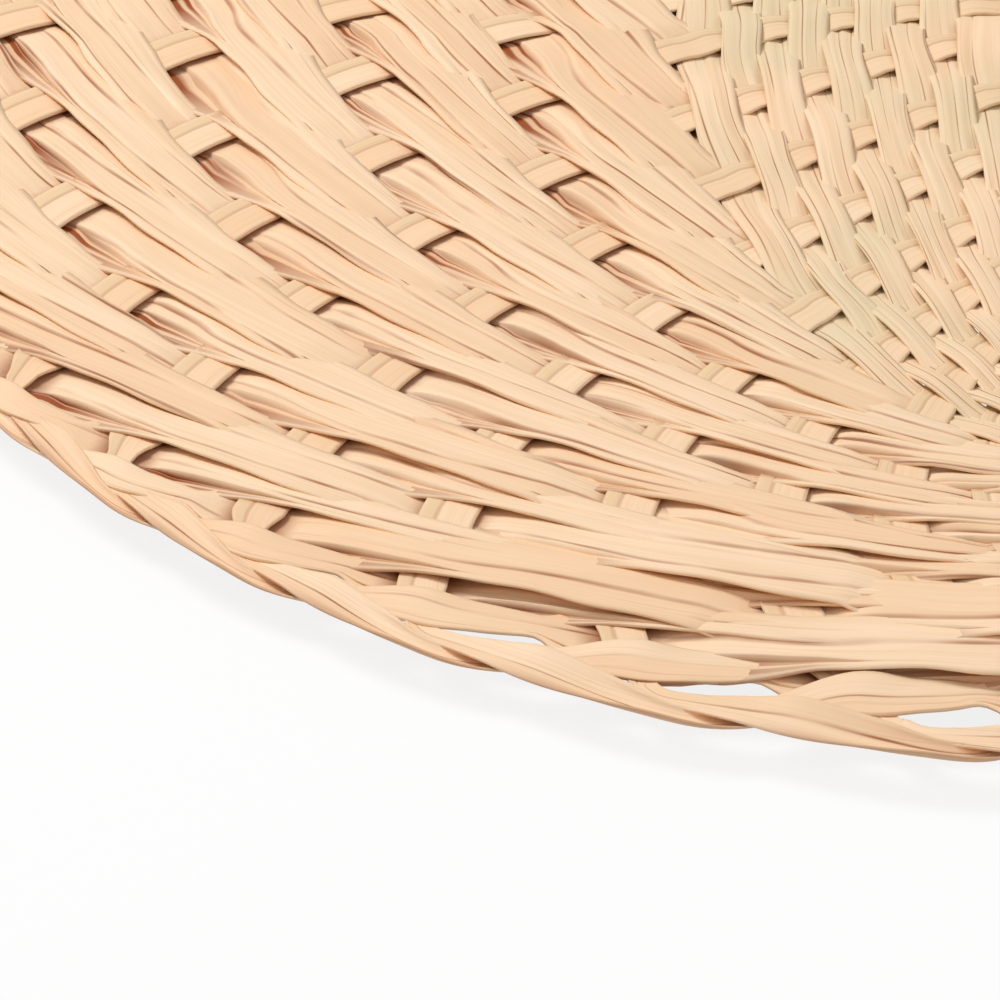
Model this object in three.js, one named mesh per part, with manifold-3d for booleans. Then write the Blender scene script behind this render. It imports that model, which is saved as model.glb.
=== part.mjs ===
// A hand fan plaited from palm leaf strips, gripped in the kerf of a split bamboo handle.
//
// Each leaf strip runs out from the spine as a rib, turns along the edge of the blade, where it
// twists with its neighbours into the rim, passes over a rib and comes back inwards as a weft, under
// one rib and over two. Finer strips, over one rib and under one, fill the core round the spine.
// Millimetres, +Z up, the fan lying on the flat back of its handle, tip to +Y.

import * as THREE from "three";
import { mergeVertices } from "three/addons/utils/BufferGeometryUtils.js";
import Module from "manifold-3d";

// Driving dimensions of the blade
const BLADE_HALF_WIDTH = 135.6; // from the axis to the outside of the rim
const TIP_SPINE = 71.6; // from the widest line to the spine's end on the tip side
const TIP_RATE = 0.65; // how much a row reaches further to the tip for each mm that it is wider
const BASE_SPINE = 36; // the same two on the handle's side
const BASE_RATE = 0.76;
const LEAF_COUNT = 40;
const FIRST_LEAF_ANGLE = 79.8; // degrees round the rim from +X
const LEAF_SPREAD = 0.145; // how much wider apart the leaves are at the tip and base than on average
const SWIRL = 41; // degrees that a rib turns between the spine and the rim
const UNEVEN = 1.9; // degrees that hand-laid ribs stray from their places at the rim
const UNEVEN_WAVES = 6; // times round the rim
const UNEVEN_PHASE = 40; // degrees

// Leaf strips
const LEAF_THICKNESS = 0.35;
const LEAF_CLEARANCE = 0.35; // between strips that cross
const RIB_WIDTH_AT_RIM = 5.6;
const RIB_WIDTH_AT_SPINE = 3.2;
const RIM_WIDTH = 3;
const WEFT_SHARE = 0.73; // of the room between neighbouring wefts
const WEFT_MOST_WIDTH = 4.2;
const RIB_GAP = 0.8; // between neighbouring ribs where they start at the spine
const SPINE_GAP = 4; // from the axis to the innermost ribs

// Rim and weave, as distances in from the outside of the rim
const RUN_INSET = RIM_WIDTH / 2 + 0.3; // a leaf at its outermost
const TURN_INSET = 8.2; // where a rib turns along the rim
const TURN_RADIUS = 5;
const OVER_INSET = 9.0; // where a leaf passes over its second rib
const FIRST_WEFT_INSET = 12; // where it first goes under a rib
const RIM_RIBS = 3; // ribs that a leaf passes along the rim
const WEFT_RIBS = 15; // ribs that it then crosses, under one and over two

// Core strips, round the spine
const CORE_HALF_WIDTH = 41.2; // where the leaf strips end
const CORE_ROWS = 9;
const CORE_PITCH = (3.5 / 41.2) * CORE_HALF_WIDTH; // rows close up in a narrower core
const CORE_WHOLE_ROWS = 7; // rows that go round the spine's end; the others are two strips each
const CORE_RISE = 1.3; // above or below a rib
const CORE_ROOM = 9; // least distance between ribs that it passes in turn over and under
const CORE_END = 60; // degrees past the widest line, on the handle's side
const CORE_SIDE_END = 62; // and to the tip, for a row of two strips
const CORE_HANDLE_GAP = 1; // to the handle's tines

// Handle
const HANDLE_OUTSIDE = 132; // the grip, below the blade
const TINE_REACH = 76; // from the blade's widest line to the top of the tines
const TINE_TIP_LENGTH = 6; // the part of it that narrows to the top
const TINE_TIP_WIDTH = 4;
const GRIP_WIDTH = 14;
const NECK_WIDTH = 12;
const GRIP_HEIGHT = 9;
const TINE_WIDTH = 7;
const TINE_HEIGHT = 8;
const BUTT_WIDTH = 11;
const HANDLE_CORNER = 2.6;
const KERF_CLEARANCE = 0.33; // from the woven blade to the kerf's walls
const KERF_PAST_BLADE = 9;
const BLADE_LEVEL = 4.5; // middle of the blade above the handle's back

// Neck binding
const BINDING_TURNS = 6;
const BINDING_WIDTH = 3.2;
const BINDING_THICKNESS = 0.6;
const BINDING_GAP = 0.6; // between turns
const BINDING_CLEARANCE = 0.3;
const BINDING_STEPS = 16; // to a turn

const WEAVE_RISE = LEAF_THICKNESS + LEAF_CLEARANCE;
const BLADE_HALF_THICKNESS = WEAVE_RISE + LEAF_THICKNESS / 2;
const BLADE_BASE = BASE_SPINE + BASE_RATE * BLADE_HALF_WIDTH;

const leafMaterial = new THREE.MeshStandardMaterial({ color: 0xf0cfa2, roughness: 0.62, metalness: 0 });
const coreMaterial = new THREE.MeshStandardMaterial({ color: 0xe6d6a6, roughness: 0.62, metalness: 0 });
const bambooMaterial = new THREE.MeshStandardMaterial({ color: 0xd9b179, roughness: 0.5, metalness: 0 });

// Rows of the weave: half an ellipse to the tip and half to the handle, round the spine

function rowReach(halfWidth, angle) {
  const towardsTip = Math.sin(angle) >= 0;
  return towardsTip ? TIP_SPINE + TIP_RATE * halfWidth : BASE_SPINE + BASE_RATE * halfWidth;
}

function rowPoint(halfWidth, angle) {
  const reach = rowReach(halfWidth, angle);
  return new THREE.Vector2(halfWidth * Math.cos(angle), reach * Math.sin(angle));
}

// Angle of a leaf where its rib meets the rim
function rimAngle(leaf) {
  const turn = (2 * Math.PI * leaf) / LEAF_COUNT;
  return THREE.MathUtils.degToRad(FIRST_LEAF_ANGLE) + turn + (LEAF_SPREAD / 2) * Math.sin(2 * turn);
}

// Half-width of the row that lies a distance in from the rim where a leaf meets it
function rowInside(leaf, inset) {
  const angle = rimAngle(leaf);
  const rate = Math.sin(angle) >= 0 ? TIP_RATE : BASE_RATE;
  const reach = rowReach(BLADE_HALF_WIDTH, angle);
  const across = reach * Math.cos(angle) ** 2 + BLADE_HALF_WIDTH * rate * Math.sin(angle) ** 2;
  const slope = Math.hypot(reach * Math.cos(angle), BLADE_HALF_WIDTH * Math.sin(angle));
  return BLADE_HALF_WIDTH - (inset * slope) / across;
}

// A place on the blade: a leaf's number, or a number between two leaves, and a row's half-width
function bladeAngle(leaf, halfWidth) {
  const share = halfWidth / BLADE_HALF_WIDTH;
  const swirl = THREE.MathUtils.degToRad(SWIRL) * (1 - share);
  const wave = THREE.MathUtils.degToRad((UNEVEN_WAVES * 360 * leaf) / LEAF_COUNT + UNEVEN_PHASE);
  const stray = THREE.MathUtils.degToRad(UNEVEN) * Math.sin(wave) * share ** 3;
  return rimAngle(leaf) - swirl + stray;
}

function bladePoint(leaf, halfWidth) {
  return rowPoint(halfWidth, bladeAngle(leaf, halfWidth));
}

function ribWidth(halfWidth) {
  const share = halfWidth / BLADE_HALF_WIDTH;
  return RIB_WIDTH_AT_SPINE + (RIB_WIDTH_AT_RIM - RIB_WIDTH_AT_SPINE) * share;
}

// Ribs start where they have room: every fourth one nearest the spine, then every second, then all
function ribStart(leaf) {
  const evenLeaves = LEAF_COUNT - (LEAF_COUNT % 4);
  const stride = leaf >= evenLeaves || leaf % 2 === 1 ? 1 : leaf % 4 === 2 ? 2 : 4;
  const crowded = (halfWidth) => {
    const here = bladePoint(leaf, halfWidth);
    const along = bladePoint(leaf, halfWidth + 1).sub(here).normalize();
    const rooms = [-stride, stride].map((step) =>
      Math.abs(along.cross(bladePoint(leaf + step, halfWidth).sub(here))),
    );
    return Math.min(...rooms) < ribWidth(halfWidth) + RIB_GAP;
  };
  let halfWidth = SPINE_GAP;
  while (crowded(halfWidth) && halfWidth < BLADE_HALF_WIDTH / 2) halfWidth += 1;
  return halfWidth;
}

// One leaf strip: points in the blade's plane, each with its height and width

const RIB_STEPS = 5;
const TURN_STEPS = 3;

function ribStations(leaf) {
  const start = ribStart(leaf);
  const end = rowInside(leaf, TURN_INSET + TURN_RADIUS);
  const stations = [];
  for (let step = 0; step <= RIB_STEPS; step++) {
    const halfWidth = start + ((end - start) * step) / RIB_STEPS;
    stations.push({ place: bladePoint(leaf, halfWidth), height: 0, width: ribWidth(halfWidth) });
  }
  return stations;
}

// Half-width of the row that a leaf is on when it has passed a number of ribs
function rowAfter(leaf, ribs) {
  const turn = rowInside(leaf + ribs, TURN_INSET);
  const run = rowInside(leaf + ribs, RUN_INSET);
  const over = rowInside(leaf + ribs, OVER_INSET);
  const first = rowInside(leaf + ribs, FIRST_WEFT_INSET);
  if (ribs <= 1) return turn + (run - turn) * Math.sin((ribs * Math.PI) / 2);
  if (ribs <= 2) return run + (over - run) * THREE.MathUtils.smoothstep(ribs, 1, 2);
  if (ribs <= RIM_RIBS) return over + (first - over) * THREE.MathUtils.smoothstep(ribs, 2, RIM_RIBS);
  return first - weftPitch(leaf + ribs) * Math.min(ribs - RIM_RIBS, WEFT_RIBS);
}

// How much nearer the spine a weft's row is at each rib
function weftPitch(leaf) {
  return (rowInside(leaf, FIRST_WEFT_INSET) - CORE_HALF_WIDTH) / WEFT_RIBS;
}

function alongLeaf(leaf, ribs) {
  return bladePoint(leaf + ribs, rowAfter(leaf, ribs));
}

function turnStations(leaf, lastOfRib) {
  const corner = bladePoint(leaf, rowInside(leaf, TURN_INSET));
  const leaving = TURN_RADIUS / alongLeaf(leaf, 0).distanceTo(alongLeaf(leaf, 1));
  const bend = new THREE.QuadraticBezierCurve(lastOfRib, corner, alongLeaf(leaf, leaving));
  const stations = [];
  for (let step = 1; step <= TURN_STEPS; step++) {
    const share = step / TURN_STEPS;
    const width = RIB_WIDTH_AT_RIM + (RIM_WIDTH - RIB_WIDTH_AT_RIM) * share;
    stations.push({ place: bend.getPoint(share), height: 0, width });
  }
  return stations;
}

// A leaf keeps the ribs' level till it has passed over the leaf before it, dips under the next, and
// comes up over its second rib
const RIM_LEVEL_UNTIL = 0.82;
const RIM_UNDER_FROM = 0.99;
const RIM_UNDER_UNTIL = 1.66;
const RIM_OVER_UNTIL = 2.42;

function rimStations(leaf) {
  const at = (ribs, height) => ({ place: alongLeaf(leaf, ribs), height, width: RIM_WIDTH });
  const half = crossingHalf(leaf, 2, RIM_WIDTH);
  return [
    at(RIM_LEVEL_UNTIL / 2, 0),
    at(RIM_LEVEL_UNTIL, 0),
    at(RIM_UNDER_FROM, -WEAVE_RISE),
    at((RIM_UNDER_FROM + RIM_UNDER_UNTIL) / 2, -WEAVE_RISE),
    at(RIM_UNDER_UNTIL, -WEAVE_RISE),
    at(2 - half, WEAVE_RISE),
    at(2 + half, WEAVE_RISE),
    at(RIM_OVER_UNTIL, WEAVE_RISE),
  ];
}

function weftWidth(leaf, ribs) {
  const here = alongLeaf(leaf, ribs);
  const along = alongLeaf(leaf, ribs + 0.05).sub(here).normalize();
  const row = rowAfter(leaf, ribs);
  const pitch = weftPitch(leaf + ribs);
  const rooms = [row - pitch, row + pitch].map((next) =>
    Math.abs(along.cross(bladePoint(leaf + ribs, next).sub(here))),
  );
  return Math.min(WEFT_MOST_WIDTH, WEFT_SHARE * Math.min(...rooms));
}

// How far, in ribs, a strip has to stay level on each side of a rib that it crosses
function crossingHalf(leaf, ribs, width) {
  const row = rowAfter(leaf, ribs);
  const pitch = alongLeaf(leaf, ribs - 0.5).distanceTo(alongLeaf(leaf, ribs + 0.5));
  const along = alongLeaf(leaf, ribs + 0.05).sub(alongLeaf(leaf, ribs)).normalize();
  const rib = bladePoint(leaf + ribs, row + 1).sub(bladePoint(leaf + ribs, row)).normalize();
  const skew = Math.abs(along.dot(rib));
  const across = Math.abs(along.cross(rib));
  const half = (ribWidth(row) / 2 + (width / 2) * skew) / across + LEAF_CLEARANCE;
  return Math.min(half / pitch, 0.46);
}

function goesUnder(ribs) {
  return (ribs - RIM_RIBS) % 3 === 0;
}

function weftStations(leaf) {
  const stations = [];
  const add = (rib, ribs) => {
    const height = goesUnder(rib) ? -WEAVE_RISE : WEAVE_RISE;
    stations.push({ place: alongLeaf(leaf, ribs), height, width: weftWidth(leaf, ribs) });
  };
  const last = RIM_RIBS + WEFT_RIBS;
  for (let rib = RIM_RIBS; rib <= last; rib++) {
    const half = crossingHalf(leaf, rib, weftWidth(leaf, rib));
    if (rib === RIM_RIBS || goesUnder(rib) !== goesUnder(rib - 1)) add(rib, rib - half);
    if (rib === last || goesUnder(rib) !== goesUnder(rib + 1)) add(rib, rib + half);
  }
  return stations;
}

function leafStations(leaf) {
  const rib = ribStations(leaf);
  const turn = turnStations(leaf, rib[rib.length - 1].place);
  return [...rib, ...turn, ...rimStations(leaf), ...weftStations(leaf)];
}

// A closed strip of rectangular section through a line of stations
function stripGeometry(sections) {
  const corners = 4;
  const positions = sections.flat().flatMap((p) => [p.x, p.y, p.z]);
  const index = [];
  const last = (sections.length - 1) * corners;
  for (let s = 0; s < last; s += corners) {
    for (let c = 0; c < corners; c++) {
      const d = (c + 1) % corners;
      index.push(s + c, s + corners + c, s + d, s + d, s + corners + c, s + corners + d);
    }
  }
  index.push(0, 1, 2, 0, 2, 3, last, last + 2, last + 1, last, last + 3, last + 2);
  const geometry = new THREE.BufferGeometry();
  geometry.setAttribute("position", new THREE.Float32BufferAttribute(positions, 3));
  geometry.setIndex(index);
  geometry.computeVertexNormals();
  return geometry;
}

function flatStrip(stations) {
  const sections = stations.map((station, s) => {
    const before = stations[Math.max(s - 1, 0)].place;
    const after = stations[Math.min(s + 1, stations.length - 1)].place;
    const along = after.clone().sub(before).normalize();
    const side = new THREE.Vector2(-along.y, along.x).multiplyScalar(station.width / 2);
    const left = station.place.clone().add(side);
    const right = station.place.clone().sub(side);
    const top = station.height + LEAF_THICKNESS / 2;
    const bottom = station.height - LEAF_THICKNESS / 2;
    return [
      new THREE.Vector3(right.x, right.y, bottom),
      new THREE.Vector3(right.x, right.y, top),
      new THREE.Vector3(left.x, left.y, top),
      new THREE.Vector3(left.x, left.y, bottom),
    ];
  });
  return stripGeometry(sections);
}

// Core rows: each strip passes the ribs in turn, or lies over them where they crowd together

function coreRow(row) {
  return CORE_HALF_WIDTH - CORE_PITCH * row;
}

function coreStation(row, rib) {
  const halfWidth = coreRow(row);
  const place = bladePoint(rib, halfWidth);
  const before = bladePoint(rib - 1, halfWidth);
  const after = bladePoint(rib + 1, halfWidth);
  const crowded = Math.min(place.distanceTo(before), place.distanceTo(after)) < CORE_ROOM;
  const under = !crowded && (row + rib) % 2 === 0;
  const along = after.clone().sub(before).normalize();
  const rooms = [-1, 1].map((step) =>
    Math.abs(along.cross(bladePoint(rib, halfWidth + step * CORE_PITCH).sub(place))),
  );
  const width = Math.min(WEFT_MOST_WIDTH, WEFT_SHARE * Math.min(...rooms));
  return { place, height: under ? -CORE_RISE : CORE_RISE, width };
}

// Half the tine's width at a distance to the tip
function tineHalf(y) {
  const share = THREE.MathUtils.clamp((y - GRIP_TOP) / (TINE_REACH - GRIP_TOP), 0, 1);
  return (NECK_WIDTH + (TINE_WIDTH - NECK_WIDTH) * share) / 2;
}

function coreStrips(row) {
  const halfWidth = coreRow(row);
  const between = (low, high) => {
    const stations = [];
    for (let rib = -LEAF_COUNT; rib <= LEAF_COUNT; rib++) {
      const angle = THREE.MathUtils.radToDeg(bladeAngle(rib, halfWidth));
      if (angle < low || angle > high) continue;
      const station = coreStation(row, rib);
      const { x, y } = station.place;
      const clear = Math.abs(x) - station.width / 2 > tineHalf(y) + CORE_HANDLE_GAP;
      if (clear || y > TINE_REACH + CORE_HANDLE_GAP) stations.push(station);
    }
    return stations;
  };
  if (row <= CORE_WHOLE_ROWS) return [["", between(-CORE_END, 180 + CORE_END)]];
  return [
    ["_left", between(-CORE_END, CORE_SIDE_END)],
    ["_right", between(180 - CORE_SIDE_END, 180 + CORE_END)],
  ];
}

// Handle: a tapering bar with rounded corners, flat on its back, slit from the top for the blade

const CORNER_STEPS = 3;

function handleOutline(width, height) {
  const points = [];
  const corner = Math.min(HANDLE_CORNER, width / 2.5, height / 2.5);
  const centres = [
    [width / 2 - corner, height - corner],
    [-width / 2 + corner, height - corner],
    [-width / 2 + corner, corner],
    [width / 2 - corner, corner],
  ];
  centres.forEach(([x, z], quarter) => {
    for (let step = 0; step <= CORNER_STEPS; step++) {
      const angle = ((quarter + step / CORNER_STEPS) * Math.PI) / 2;
      points.push([x + corner * Math.cos(angle), z + corner * Math.sin(angle)]);
    }
  });
  return points;
}

function loftGeometry(rings) {
  const count = rings[0].length;
  const positions = rings.flat(2);
  const index = [];
  for (let r = 0; r < rings.length - 1; r++) {
    for (let p = 0; p < count; p++) {
      const q = (p + 1) % count;
      const a = r * count + p;
      const b = r * count + q;
      index.push(a, a + count, b, b, a + count, b + count);
    }
  }
  const last = (rings.length - 1) * count;
  for (let p = 1; p < count - 1; p++) {
    index.push(0, p, p + 1, last, last + p + 1, last + p);
  }
  const geometry = new THREE.BufferGeometry();
  geometry.setAttribute("position", new THREE.Float32BufferAttribute(positions, 3));
  geometry.setIndex(index);
  return geometry;
}

const GRIP_TOP = -BLADE_BASE - KERF_PAST_BLADE;
const GRIP_END = -BLADE_BASE - HANDLE_OUTSIDE;
const GRIP_SWELL = GRIP_TOP - HANDLE_OUTSIDE / 2;

function handleRings() {
  const stations = [
    [GRIP_END, BUTT_WIDTH, GRIP_HEIGHT],
    [GRIP_SWELL, GRIP_WIDTH, GRIP_HEIGHT],
    [GRIP_TOP, NECK_WIDTH, GRIP_HEIGHT],
    [TINE_REACH - TINE_TIP_LENGTH, TINE_WIDTH, TINE_HEIGHT],
    [TINE_REACH, TINE_TIP_WIDTH, TINE_HEIGHT],
  ];
  return stations.map(([y, width, height]) => handleOutline(width, height).map(([x, z]) => [x, y, z]));
}

const wasm = await Module();
wasm.setup();

function solidOf(geometry) {
  const bare = geometry.clone();
  bare.deleteAttribute("normal");
  bare.deleteAttribute("uv");
  const merged = mergeVertices(bare, 1e-4);
  const vertProperties = new Float32Array(merged.getAttribute("position").array);
  const triVerts = new Uint32Array(merged.getIndex().array);
  return new wasm.Manifold(new wasm.Mesh({ numProp: 3, vertProperties, triVerts }));
}

function geometryOf(solid) {
  const mesh = solid.getMesh();
  const geometry = new THREE.BufferGeometry();
  geometry.setAttribute("position", new THREE.Float32BufferAttribute(mesh.vertProperties, 3));
  geometry.setIndex(Array.from(mesh.triVerts));
  geometry.computeVertexNormals();
  return geometry;
}

function handleGeometry() {
  const kerfHeight = 2 * (BLADE_HALF_THICKNESS + KERF_CLEARANCE);
  const kerfLength = TINE_REACH - GRIP_TOP;
  const kerf = new THREE.BoxGeometry(2 * GRIP_WIDTH, 2 * kerfLength, kerfHeight);
  kerf.translate(0, GRIP_TOP + kerfLength, BLADE_LEVEL);
  return geometryOf(solidOf(loftGeometry(handleRings())).subtract(solidOf(kerf)));
}

// Neck binding: a leaf strip wound round the handle below the kerf

function bindingStations() {
  const stations = [];
  const pitch = BINDING_WIDTH + BINDING_GAP;
  const grow = 2 * (BINDING_CLEARANCE + BINDING_THICKNESS / 2);
  const swell = (GRIP_WIDTH - NECK_WIDTH) / (GRIP_TOP - GRIP_SWELL);
  const halfHigh = (GRIP_HEIGHT + grow) / 2;
  const start = GRIP_TOP - BINDING_WIDTH / 2;
  const squareness = 4;
  for (let step = 0; step <= BINDING_TURNS * BINDING_STEPS; step++) {
    const angle = (2 * Math.PI * step) / BINDING_STEPS;
    const cos = Math.cos(angle);
    const sin = Math.sin(angle);
    const power = Math.abs(cos) ** squareness + Math.abs(sin) ** squareness;
    const reach = power ** (-1 / squareness);
    const y = start - (pitch * step) / BINDING_STEPS;
    const halfWide = (NECK_WIDTH + swell * (GRIP_TOP - y) + grow) / 2;
    const x = halfWide * reach * cos;
    const z = GRIP_HEIGHT / 2 + halfHigh * reach * sin;
    stations.push(new THREE.Vector3(x, y, z));
  }
  return stations;
}

// Least distance between the edges of neighbouring turns
function bindingGap(stations) {
  let least = Infinity;
  for (let s = 0; s + BINDING_STEPS < stations.length; s++) {
    least = Math.min(least, stations[s].distanceTo(stations[s + BINDING_STEPS]) - BINDING_WIDTH);
  }
  return least;
}

function bindingGeometry() {
  const stations = bindingStations();
  console.log(`Neck binding: least gap between turns ${bindingGap(stations).toFixed(2)} mm`);
  const sections = stations.map((place, s) => {
    const before = stations[Math.max(s - 1, 0)];
    const after = stations[Math.min(s + 1, stations.length - 1)];
    const along = after.clone().sub(before).setY(0).normalize();
    const out = new THREE.Vector3(along.z, 0, -along.x).multiplyScalar(BINDING_THICKNESS / 2);
    const wide = new THREE.Vector3(0, BINDING_WIDTH / 2, 0);
    return [
      place.clone().sub(out).sub(wide),
      place.clone().sub(out).add(wide),
      place.clone().add(out).add(wide),
      place.clone().add(out).sub(wide),
    ];
  });
  return stripGeometry(sections);
}

// Assembly

function addPiece(parent, name, geometry, material) {
  const mesh = new THREE.Mesh(geometry, material);
  mesh.name = name;
  parent.add(mesh);
}

const fan = new THREE.Group();
const blade = new THREE.Group();
blade.position.z = BLADE_LEVEL;
fan.add(blade);
for (let leaf = 0; leaf < LEAF_COUNT; leaf++) {
  const number = String(leaf + 1).padStart(2, "0");
  addPiece(blade, `leaf_strip_${number}`, flatStrip(leafStations(leaf)), leafMaterial);
}
for (let row = 1; row <= CORE_ROWS; row++) {
  for (const [side, stations] of coreStrips(row)) {
    addPiece(blade, `core_strip_${row}${side}`, flatStrip(stations), coreMaterial);
  }
}
addPiece(fan, "split_handle", handleGeometry(), bambooMaterial);
addPiece(fan, "neck_binding", bindingGeometry(), leafMaterial);

export default fan;
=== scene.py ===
import math

import bpy
import numpy as np
from mathutils import Matrix


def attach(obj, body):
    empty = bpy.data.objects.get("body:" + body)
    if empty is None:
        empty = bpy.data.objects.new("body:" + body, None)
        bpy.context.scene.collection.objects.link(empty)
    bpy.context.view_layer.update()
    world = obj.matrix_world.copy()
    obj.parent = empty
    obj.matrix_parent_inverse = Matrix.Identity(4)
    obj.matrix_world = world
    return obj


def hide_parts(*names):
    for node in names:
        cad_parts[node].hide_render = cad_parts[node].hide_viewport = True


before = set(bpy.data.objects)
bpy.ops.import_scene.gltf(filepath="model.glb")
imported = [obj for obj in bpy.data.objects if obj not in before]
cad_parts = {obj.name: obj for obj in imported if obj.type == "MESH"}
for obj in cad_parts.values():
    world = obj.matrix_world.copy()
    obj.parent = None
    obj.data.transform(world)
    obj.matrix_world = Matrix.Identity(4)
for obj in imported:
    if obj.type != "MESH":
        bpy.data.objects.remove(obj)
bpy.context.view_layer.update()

bl_info = {
    "name": "Plaited Palm Leaf Fan",
    "version": (1, 0, 0),
    "blender": (4, 5, 0),
    "location": "3D View > Sidebar > Palm Fan",
    "description": "Plaits a palm leaf fan from separate strips and sets it on a pale studio floor",
    "category": "Object",
}

MM = 0.001
UV_MM = 100.0  # millimetres of leaf to one unit of its UV map
PHASE_RANGE = 6.3  # the phase of a random wave, up to a full turn
CORE_NAMES = [name for name in sorted(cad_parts) if name.startswith("core_strip_")]


# Sizes and colours that a user would change


class PalmFanBlade(bpy.types.PropertyGroup):
    """Sizes of the plaited blade, the same as those of the solids."""

    half_width: bpy.props.FloatProperty(
        name="Half-width", description="From the axis to the outside of the rim",
        default=0.1356, unit="LENGTH")
    tip_spine: bpy.props.FloatProperty(
        name="Spine to the tip", description="From the widest line to the spine's end on the tip side",
        default=0.0716, unit="LENGTH")
    tip_rate: bpy.props.FloatProperty(
        name="Tip rate", description="How much further a row reaches to the tip for each unit of width",
        default=0.65)
    base_spine: bpy.props.FloatProperty(
        name="Spine to the base",
        description="From the widest line to the spine's end on the handle's side",
        default=0.036, unit="LENGTH")
    base_rate: bpy.props.FloatProperty(
        name="Base rate", description="How much further a row reaches to the handle for each unit of width",
        default=0.76)
    leaf_count: bpy.props.IntProperty(
        name="Leaves", description="Strips that the blade is plaited from", default=40)
    first_angle: bpy.props.FloatProperty(
        name="First leaf", description="Angle round the rim where the first rib ends",
        default=math.radians(79.8), subtype="ANGLE")
    leaf_spread: bpy.props.FloatProperty(
        name="Spread", description="How much wider apart the leaves are at tip and base", default=0.145)
    swirl: bpy.props.FloatProperty(
        name="Swirl", description="Angle that a rib turns through between spine and rim",
        default=math.radians(41.0), subtype="ANGLE")
    core_half_width: bpy.props.FloatProperty(
        name="Core half-width", description="Row where the leaf strips end and the core strips begin",
        default=0.0412, unit="LENGTH")
    core_pitch: bpy.props.FloatProperty(
        name="Core pitch", description="Distance between rows of the core", default=0.0035, unit="LENGTH")
    level: bpy.props.FloatProperty(
        name="Level", description="Middle of the blade above the floor", default=0.0045, unit="LENGTH")
    leaf_thickness: bpy.props.FloatProperty(
        name="Leaf thickness", description="Thickness of a dried strip", default=0.00028, unit="LENGTH")


class PalmFanHandle(bpy.types.PropertyGroup):
    """Sizes of the split bamboo handle and its binding."""

    tine_reach: bpy.props.FloatProperty(
        name="Tine reach", description="From the widest line to the top of the tines",
        default=0.076, unit="LENGTH")
    neck_width: bpy.props.FloatProperty(
        name="Neck width", description="Width where the blade ends", default=0.012, unit="LENGTH")
    grip_width: bpy.props.FloatProperty(
        name="Grip width", description="Width at the swell of the grip", default=0.014, unit="LENGTH")
    grip_height: bpy.props.FloatProperty(
        name="Grip height", description="Height of the grip off the floor", default=0.009, unit="LENGTH")
    kerf_height: bpy.props.FloatProperty(
        name="Kerf height", description="Height of the slit that grips the blade",
        default=0.00241, unit="LENGTH")
    binding_turns: bpy.props.IntProperty(
        name="Binding turns", description="Turns of leaf round the neck", default=6)


class PalmFanColours(bpy.types.PropertyGroup):
    """Colours of the dried leaf, the core and the bamboo, as sRGB hex values, with the brown of the leaf's
    painted shade.
    """

    leaf_pale: bpy.props.StringProperty(
        name="Leaf, pale", description="Bleached face of a dried strip", default="FBDBB8")
    leaf_tan: bpy.props.StringProperty(
        name="Leaf, tan", description="Darker fibres of a dried strip", default="EEC296")
    leaf_dull: bpy.props.StringProperty(
        name="Leaf, dull", description="Duller band along the edge of a rib", default="E8C69C")
    # Painted shade: this brown darkens the leaf in its creases and folds, under other strips and in the gaps
    # beside a bundle
    painted_shade_brown: bpy.props.StringProperty(
        name="Leaf, brown", description="Creases and folds", default="94460C")
    core_green: bpy.props.StringProperty(
        name="Core, green", description="Younger leaf near the spine", default="E2D0A8")
    bamboo_pale: bpy.props.StringProperty(
        name="Bamboo, pale", description="Split bamboo", default="E0BC84")
    bamboo_tan: bpy.props.StringProperty(
        name="Bamboo, tan", description="Fibres of the bamboo", default="BF8F52")
    bamboo_brown: bpy.props.StringProperty(
        name="Bamboo, brown", description="Rings at the joints of the bamboo", default="7A4E24")


# Curves and vectors


def eased(at, places, values):
    """Values between places, level at each of them."""
    at = np.asarray(at, float)
    places = np.asarray(places, float)
    values = np.asarray(values, float)
    index = np.clip(np.searchsorted(places, at, side="right") - 1, 0, len(places) - 2)
    share = np.clip((at - places[index]) / (places[index + 1] - places[index]), 0, 1)
    return values[index] + (values[index + 1] - values[index]) * smooth(share)


def smooth(share):
    """A share from 0 to 1 that starts and ends level."""
    return share * share * (3 - 2 * share)


def flowing(at, places, values, blur):
    """Values between places, in straight lines with rounded bends."""
    step = 0.01
    grid = np.arange(places[0] - 1, places[-1] + 1, step)
    kernel = np.hanning(int(2 * blur / step) + 3)
    line = np.convolve(np.interp(grid, places, values), kernel / kernel.sum(), mode="same")
    return np.interp(at, grid, line)


def slow_wave(along, random, lengths_between):
    """Three long waves of random length and phase, added together."""
    return sum(np.sin(2 * np.pi * along / random.uniform(*lengths_between) + random.uniform(0, PHASE_RANGE))
               for _ in range(3))


def unit(vectors):
    """Vectors of length 1."""
    return vectors / np.maximum(np.linalg.norm(vectors, axis=-1, keepdims=True), 1e-9)


def cross(one, other):
    """Cross product of flat vectors."""
    return one[..., 0] * other[..., 1] - one[..., 1] * other[..., 0]


def blend(ends, share):
    """A value between two others."""
    low, high = ends
    return low + (high - low) * share


def left_of(line):
    """Unit vectors to the left of a line."""
    tangent = unit(np.gradient(line, axis=0))
    return np.stack([-tangent[:, 1], tangent[:, 0]], -1)


def lengths(points):
    """Length of a line up to each of its points."""
    steps = np.linalg.norm(np.diff(points, axis=0), axis=1)
    return np.concatenate([[0], np.cumsum(steps)])


def line_at(places, run, line):
    """Points of a line at some lengths along it."""
    return np.stack([np.interp(places, run, line[:, axis]) for axis in (0, 1)], -1)


def swept(line, left, offset, height):
    """Points at an offset to the left of a line, and at a height."""
    face = np.empty(offset.shape + (3,))
    face[..., :2] = line[:, None] + left[:, None] * offset[..., None]
    face[..., 2] = height
    return face


def from_third(count):
    """How far a count of ribs or wefts is from the nearest multiple of three."""
    return (count + 1.5) % 3 - 1.5


# The lines that the leaves follow, in millimetres


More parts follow.
